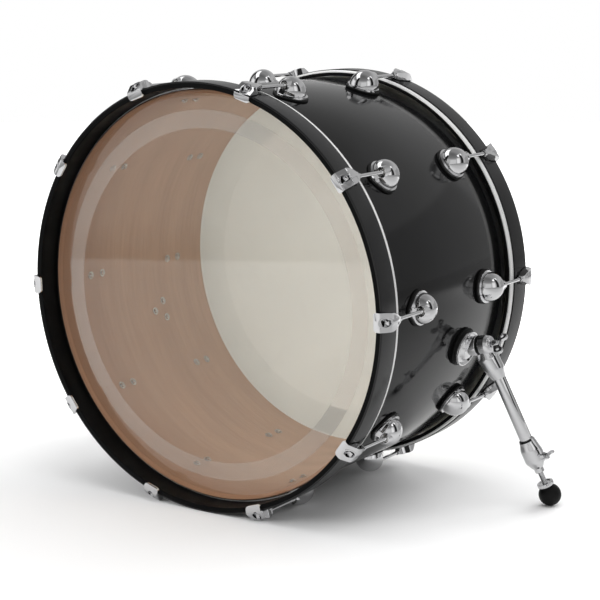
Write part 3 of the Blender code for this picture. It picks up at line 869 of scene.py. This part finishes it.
def make_spur(hand_name, hand, looks):
    """Bracket on the shell, then the leg, the inner rod and the wing bolts, each on its own body."""
    chrome, rubber, steel, foot_rubber = looks
    fold = JOINTS[f"{hand_name}_spur_fold"]
    leg_way = Vector(JOINTS[f"{hand_name}_spur_extend"]["axis"])
    hinge_at = Vector(fold["pos_m"])
    hinge_way = Vector(fold["axis"]) * hand
    leg_body = f"{hand_name}_spur_leg"
    name = f"{hand_name}_spur"
    leg = frame_along(hinge_at, leg_way, hinge_way)
    hinge = frame_along(hinge_at, hinge_way, -leg_way)

    along = (DRUM.inverted() @ hinge_at).y
    turn = Matrix.Rotation(math.radians(hand * SPUR_ANGLE), 4, "Y")
    base_at = DRUM @ turn @ Matrix.Translation((0, along, SHELL_RADIUS))
    gasket_profile = [
        (0.0, 0.0, 0),
        (0.0, 0.0296, 0.0005),
        (0.0034, 0.0298, 0.0012),
        (0.0036, 0.0282, 0.0004),
        (0.0064, 0.0282, 0.0012),
        (0.0064, 0.0, 0),
    ]
    gasket = on_shell(upright(rounded(gasket_profile, 0.001, 4, closed=False), 72), GAP)
    node = f"{hand_name}_spur_bracket"
    add_piece(f"{name}_bracket_gasket", gasket, rubber, BODY, base_at, node=node)
    add_piece(f"{name}_bracket_base", bracket_base_mesh(), chrome, BODY, base_at, node=node)
    barrel = [(-0.0240, 0.0, 0), (-0.0240, 0.0150), (-0.0105, 0.0150, 0.0008), (-0.0105, 0.0)]
    barrel = upright(rounded(barrel, 0.001, 4, closed=False))
    add_piece(f"{name}_bracket_barrel", barrel, chrome, BODY, hinge, node=node)
    screw_circle = 0.0165
    screw = screw_mesh()
    washer = washer_mesh()
    for number, degrees in enumerate((90, 210, 330), 1):
        turn = math.radians(degrees)
        spot = (screw_circle * math.cos(turn), screw_circle * math.sin(turn), -SHELL_WALL - GAP)
        at = base_at @ Matrix.Translation(spot)
        add_screw(f"{name}_bracket", f"_{number}", screw, washer, steel, at)

    ratchet = [(-0.0102, 0.0), (-0.0102, 0.0146), (-0.0062, 0.0146), (-0.0062, 0.0)]
    ratchet = upright(rounded(ratchet, 0.0006, 3, closed=False))
    add_piece(f"{name}_ratchet_washer", ratchet, rubber, BODY, hinge)
    make_leg(name, leg_body, leg, hinge, hand, chrome, rubber)
    make_inner_rod(name, leg, chrome, foot_rubber)
    make_wing_bolts(name, leg, hinge, chrome)


def hinge_casting_mesh(to_leg):
    """Round cap on the hinge with a neck that runs down into the tube."""
    cap = [(-0.0058, 0.0, 0), (-0.0058, 0.0146), (0.0042, 0.0148, 0.0014)]
    cap += [(0.0108, 0.0128, 0.0060), (0.0130, 0.0, 0)]
    head = upright(rounded(cap, 0.0008, 6, closed=False))
    head.transform(to_leg)
    neck_profile = [
        (0.0060, 0.0, 0),
        (0.0080, 0.0116, 0.002),
        (0.0190, 0.0158, 0.008),
        (0.0380, 0.0150, 0.010),
        (LEG_NECK_END, 0.0106, 0.002),
        (LEG_NECK_END, 0.0, 0),
    ]
    neck = upright(rounded(neck_profile, 0.002, 6, closed=False), 56)
    for vertex in neck.vertices:
        vertex.co.x -= 0.0055 * max(0.0, 1 - vertex.co.z / LEG_NECK_END)
    room = upright([(-0.04, 0.0154), (-0.0060, 0.0154)])
    room.transform(to_leg)
    bolt_hole = upright([(-0.02, 0.0042), (0.02, 0.0042)], 32)
    bolt_hole.transform(to_leg)
    return baked(head, [joined(neck), cut(room), cut(bolt_hole), bevelled(0.0008, 3, 32)], 40)


def clamp_casting_mesh():
    """Split clamp at the tube's end, with a rib and a boss for its bolt."""
    body = [
        (CLAMP_START, INNER_BORE, 0.0004),
        (CLAMP_START, 0.0116, 0.0010),
        (0.1655, 0.0124, 0.003),
        (0.1745, 0.0151, 0.010),
        (0.1955, 0.0149, 0.010),
        (CLAMP_END, 0.0086, 0.0030),
        (CLAMP_END, INNER_BORE, 0.0004),
    ]
    rib_outline = [
        (0.0085, 0.1580, 0.0006),
        (0.0125, 0.1585, 0.0010),
        (0.0176, 0.1790, 0.010),
        (0.0176, 0.1950, 0.004),
        (0.0120, 0.2010, 0.002),
        (0.0080, 0.2000, 0.0006),
    ]
    rib_half = 0.0032
    rib = prism(rounded(rib_outline, 0.001, 5), (0, rib_half, 0), (1, 0, 0), (0, 0, 1), 2 * rib_half)
    boss = turned([(0.010, 0.0056), (0.0193, 0.0053)], (0, 0, CLAMP_BOLT), (1, 0, 0), 36)
    bolt_way = turned([(0.0, 0.0031), (0.03, 0.0031)], (0, 0, CLAMP_BOLT), (1, 0, 0), 24)
    slit = slab(rectangle(0.0, 0.03, 0.0008), 0.155, 0.0292)
    bore = upright([(0.15, INNER_BORE), (0.22, INNER_BORE)], 40)
    steps = [joined(rib), joined(boss), cut(bore), cut(bolt_way), cut(slit), bevelled(0.0005, 2, 32)]
    return baked(upright(rounded(body, 0.002, 6), 64, closed=True), steps, 40)


def slot_mesh(near, far, half, start, length, hand):
    """Straight bar along the leg, turned to where the tube's slot is."""
    bar = slab(rectangle(near, far, half), start, length)
    bar.transform(Matrix.Rotation(math.radians(SLOT_TURN * hand), 4, "Z"))
    return bar


def make_leg(name, leg_body, leg, hinge, hand, chrome, rubber):
    casting = hinge_casting_mesh(leg.inverted() @ hinge)
    add_piece(f"{name}_hinge_casting", casting, chrome, leg_body, leg, node=leg_body)

    tube = upright(sleeve(TUBE_START, TUBE_END, INNER_BORE, TUBE_RADIUS, 0.0006), 56, closed=True)
    tube = baked(tube, [cut(slot_mesh(0.0082, 0.014, 0.0013, 0.045, 0.15, hand))], 35)
    add_piece(f"{name}_outer_tube", tube, chrome, leg_body, leg, node=leg_body)
    strip = slot_mesh(0.0083, 0.0091, 0.0012, 0.054, 0.1050, hand)
    add_piece(f"{name}_slot_strip", strip, rubber, leg_body, leg)
    washer = sleeve(TUBE_END + 0.0002, CLAMP_START - 0.0002, 0.0078, 0.0112, 0.0002)
    washer = upright(washer, 56, closed=True)
    add_piece(f"{name}_clamp_washer", washer, rubber, leg_body, leg)
    clamp = clamp_casting_mesh()
    add_piece(f"{name}_clamp_casting", clamp, chrome, leg_body, leg, node=leg_body)


def knurled_nut_mesh():
    outline = []
    for step in range(2 * KNURLS):
        radius = FOOT_NUT_RADIUS if step % 2 else FOOT_NUT_RADIUS - 0.001
        turn = math.pi * step / KNURLS
        outline.append((radius * math.cos(turn), radius * math.sin(turn)))
    nut = slab(outline, FOOT_NUT_AT, 0.0055)
    hole = upright([(0.22, 0.0041), (0.25, 0.0041)], 24)
    dish = upright([(0.2322, 0.0), (0.2322, 0.0098), (0.2345, 0.0080), (0.2345, 0.0)], 40)
    return baked(nut, [cut(dish), cut(hole), bevelled(0.0003, 2, 40)], 40)


def ball_mesh():
    """Rubber ball with a flat top and a socket for the thread."""
    start = math.acos(BALL_FLAT / BALL_RADIUS)
    socket = 0.0045
    profile = [(-BALL_FLAT, socket), (-BALL_FLAT, BALL_RADIUS * math.sin(start) - 0.0008)]
    for step in range(25):
        lean = start + (math.pi - start) * step / 24
        profile.append((-BALL_RADIUS * math.cos(lean), BALL_RADIUS * math.sin(lean)))
    profile[-1] = (BALL_RADIUS, 0.0)
    return upright(profile + [(0.006, 0.0), (0.006, socket)])


def make_inner_rod(name, leg, chrome, foot_rubber):
    rod_body = f"{name}_inner_rod"
    foot_body = f"{name}_foot"
    tip_radius = 0.0034
    profile = [(INNER_START, 0.0), (INNER_START, INNER_RADIUS), (INNER_END, INNER_RADIUS)]
    profile += [(INNER_END + 0.0012, 0.0060), (INNER_END + 0.0014, 0.0036)]
    profile += thread(TIP_START, TIP_THREAD_END - TIP_START, 0.00125, tip_radius, 0.0040)
    profile += [(TIP_END, tip_radius), (TIP_END, 0.0)]
    rod = upright(profile, 32)
    add_piece(f"{name}_rod_and_tip", rod, chrome, rod_body, leg, node=rod_body)
    add_piece(f"{name}_knurled_nut", knurled_nut_mesh(), chrome, rod_body, leg)
    at = leg.copy()
    at.translation = Vector(JOINTS[f"{name}_foot_turn"]["pos_m"])
    ball = ball_mesh()
    add_piece(f"{name}_rubber_ball", ball, foot_rubber, foot_body, at, node=foot_body)


def wing_mesh(shank_start, shank, hub_start, hub, wings, span, thickness, eye=None):
    """Wing bolt on +Z with its wings spread along X, each with a rounded tip and, if wanted, an eye."""
    wing_start, wing_end = wings
    height = wing_end - wing_start
    half = span / 2
    tip = span / 7
    notch = span / 10.5
    shank_mesh = upright([(shank_start, shank), (hub_start + 0.001, shank)], 28)
    hub_profile = [
        (hub_start, 0.0, 0),
        (hub_start, hub),
        (wing_start + 0.5 * height, 0.72 * hub, 0.002),
        (wing_start + 0.55 * height, 0.0, 0),
    ]
    right_side = [
        (0.5 * hub, wing_start - 0.001, 0.001),
        (half, wing_start + 0.30 * height, tip),
        (half, wing_end, tip),
        (0.55 * half, wing_end, notch),
        (0.30 * half, wing_start + 0.62 * height, 0.003),
    ]
    left_side = [(-wide, high, radius) for wide, high, radius in reversed(right_side)]
    outline = rounded([left_side[-1], *right_side, *left_side[:-1]], 0.002, 5)
    blank = prism(outline, (0, thickness / 2, 0), (1, 0, 0), (0, 0, 1), thickness)
    steps = [joined(upright(rounded(hub_profile, 0.0008, 4, closed=False), 36))]
    if eye:
        for hand in (1, -1):
            eye_at = (hand * 0.70 * half, 0.01, wing_start + 0.58 * height)
            steps.append(cut(turned([(0.0, eye), (0.02, eye)], eye_at, (0, -1, 0), 24)))
    steps += [bevelled(3 * thickness / 14, 3, 35), joined(shank_mesh)]
    return baked(blank, steps, 40)


def make_wing_bolts(name, leg, hinge, chrome):
    pivot_wings_lean = Vector((0, -0.75, 0.66))
    pivot_body = f"{name}_pivot_wing_bolt"
    pivot_at = frame_along(hinge.translation, hinge.col[2].to_3d(), pivot_wings_lean)
    pivot = wing_mesh(-0.016, 0.0036, 0.0134, 0.0062, (0.0160, 0.0330), 0.036, 0.0048, eye=0.0024)
    add_piece(f"{name}_pivot_wing", pivot, chrome, pivot_body, pivot_at, node=pivot_body)
    clamp_body = f"{name}_clamp_wing_bolt"
    joint = JOINTS[f"{name}_clamp_wing_bolt_turn"]
    way = Vector(joint["axis"])
    clamp_at = frame_along(Vector(joint["pos_m"]), way, way.cross(leg.col[2].to_3d()))
    clamp = wing_mesh(0.0095, 0.0026, 0.0198, 0.0042, (0.0215, 0.031), 0.024, 0.0028)
    add_piece(f"{name}_clamp_wing", clamp, chrome, clamp_body, clamp_at, node=clamp_body)


# ---- stage, lights and camera ----
def make_camera():
    data = bpy.data.cameras.new("camera")
    data.lens = CAMERA_LENS
    data.sensor_width = 36.0
    data.clip_end = 100.0
    camera = new_object("camera", data)
    camera.location = CAMERA_AT
    camera.rotation_mode = "QUATERNION"
    camera.rotation_quaternion = Vector(CAMERA_WAY).to_track_quat("-Z", "Y")
    bpy.context.scene.camera = camera


def make_floor():
    """White floor. Its shadows fade out into plain white a little way from the drum. In front of the drum,
    outside the picture, the white ends at a straight edge that the batter head mirrors, and lit floor
    follows farther out."""
    bm = bmesh.new()
    bmesh.ops.create_circle(bm, cap_ends=True, segments=96, radius=14.0)
    floor = new_object("studio_floor", mesh_of(bm, "studio_floor"))
    n = Nodes("floor_white")
    seen = n.add("LightPath").outputs["Is Camera Ray"]
    place = n.place()
    away = n.add("VectorMath", {0: place}, operation="LENGTH").outputs["Value"]
    glow = n.maths("MULTIPLY", seen, n.spread(away, 0.55, 1.5))
    ahead = n.dot(place, FLOOR_EDGE_WAY)
    near = n.spread(ahead, FLOOR_EDGE, FLOOR_EDGE + 0.04, FLOOR_MIRRORED, 0.16)
    beyond = n.spread(ahead, FLOOR_EDGE + 0.05, FLOOR_EDGE + 1.6, 0.0, 0.6)
    # painted shade: to polished surfaces only, the floor is darker towards -X
    dimmed = n.spread(n.add("SeparateXYZ", {0: place}).outputs["X"], -0.95, -0.35, 0.70, 1.0)
    mirrored = n.maths("MULTIPLY", n.maths("ADD", near, beyond), dimmed)
    unseen = n.maths("SUBTRACT", 1.0, seen)
    sweep = n.maths("MULTIPLY", unseen, n.spread(ahead, FLOOR_EDGE + 0.3, FLOOR_EDGE + 2.6, 0.0, 0.2))
    glow = n.maths("ADD", glow, sweep)
    shade = n.blend_colour(seen, mirrored, (FLOOR_SEEN,) * 3)
    light = {"Emission_Color": (1, 1, 1, 1), "Emission_Strength": glow}
    shader = n.principled(Base_Color=shade, Roughness=0.7, Specular_IOR_Level=0.2, **light)
    floor.data.materials.append(n.surface(shader))


def area_light(name, at, target, size, power):
    """Soft lamp that lights surfaces but has no hard outline in the polished ones."""
    data = bpy.data.lights.new(name, "AREA")
    data.shape = "RECTANGLE"
    data.size, data.size_y = size
    data.energy = power
    lamp = new_object(name, data)
    lamp.location = at
    lamp.rotation_mode = "QUATERNION"
    lamp.rotation_quaternion = (Vector(target) - Vector(at)).to_track_quat("-Z", "Y")
    lamp.visible_camera = False
    lamp.visible_glossy = False


def make_lights():
    area_light("overhead_softbox", (-0.5, 0.2, 2.6), (0, 0, 0.2), (2.4, 2.2), 34)
    area_light("back_softbox", (-0.5, -3.0, 1.2), (0, 0, 0.35), (2.4, 1.8), 90)
    area_light("front_softbox", (1.0, 2.8, 1.5), (0, 0, 0.3), (1.8, 1.4), 40)


def make_world():
    """White behind the drum for the camera. Polished surfaces see grey walls, a dimmer ceiling over the
    camera, softboxes overhead, and bright and dark screens standing round the floor."""
    n = Nodes("studio", world=True)
    where = n.add("TexCoord").outputs["Generated"]
    parts = n.add("SeparateXYZ", {0: where}).outputs
    height = parts["Z"]
    strength = n.spread(height, 0.56, 0.92, 0.45, 0.26)
    over_camera = n.maths("MULTIPLY", n.spread(height, 0.44, 0.60), n.spread(parts["Y"], -0.1, 0.3))
    strength = n.maths("MULTIPLY", strength, n.spread(over_camera, 0, 1, 1.0, 0.5))
    for way, (half_wide, half_deep), level in SOFTBOXES:
        facing = Vector(way).normalized()
        wide = Vector((0, 0, 1)).cross(facing).normalized()
        lamp = n.spread(n.dot(where, facing), 0.0, 0.01)
        for axis, half in ((wide, half_wide), (facing.cross(wide), half_deep)):
            off = n.add("Math", {0: n.dot(where, axis)}, operation="ABSOLUTE").outputs[0]
            lamp = n.maths("MULTIPLY", lamp, n.spread(off, half, half + 0.02, 1.0, 0.0))
        strength = n.maths("ADD", strength, n.maths("MULTIPLY", lamp, level))
    level = n.add("VectorMath", {0: where, 1: (1, 1, 0)}, operation="MULTIPLY").outputs["Vector"]
    level = n.add("VectorMath", {0: level}, operation="NORMALIZE").outputs["Vector"]
    for degrees, half_width, top, share in SCREENS:
        turn = math.radians(degrees)
        facing = (math.cos(turn), math.sin(turn), 0)
        edge = math.cos(math.radians(half_width))
        soft = math.cos(math.radians(half_width - 2.5))
        across = n.spread(n.dot(level, facing), edge, soft)
        screen = n.maths("MULTIPLY", across, n.spread(height, top, top + 0.03, 1.0, 0.0))
        strength = n.maths("MULTIPLY", strength, n.spread(screen, 0, 1, 1.0, share))
    mirrored, seen, around = (
        n.add("Background", {"Color": (1, 1, 1, 1), "Strength": level}).outputs[0]
        for level in (strength, 1.0, WORLD_GREY)
    )
    ray = n.add("LightPath").outputs
    shader = n.mix_shaders(ray["Is Glossy Ray"], around, mirrored)
    shader = n.mix_shaders(ray["Is Camera Ray"], shader, seen)
    bpy.context.scene.world = n.surface(shader)


def main():
    bpy.context.scene.view_settings.view_transform = "Standard"
    make_camera()
    make_floor()
    make_lights()
    make_world()
    chrome = chrome_material("chrome_plate", (0.86, 0.86, 0.87), 0.02)
    steel = chrome_material("nickel_steel", (0.66, 0.65, 0.62), 0.16)
    rubber = rubber_material("gasket_rubber", 0.004)
    foot_rubber = rubber_material("foot_rubber", 0.004)
    make_shell()
    make_heads_and_hoops()
    make_lugs(chrome, rubber, steel)
    make_claws(chrome, rubber)
    for hand_name, hand in (("left", -1), ("right", 1)):
        make_spur(hand_name, hand, (chrome, rubber, steel, foot_rubber))


main()
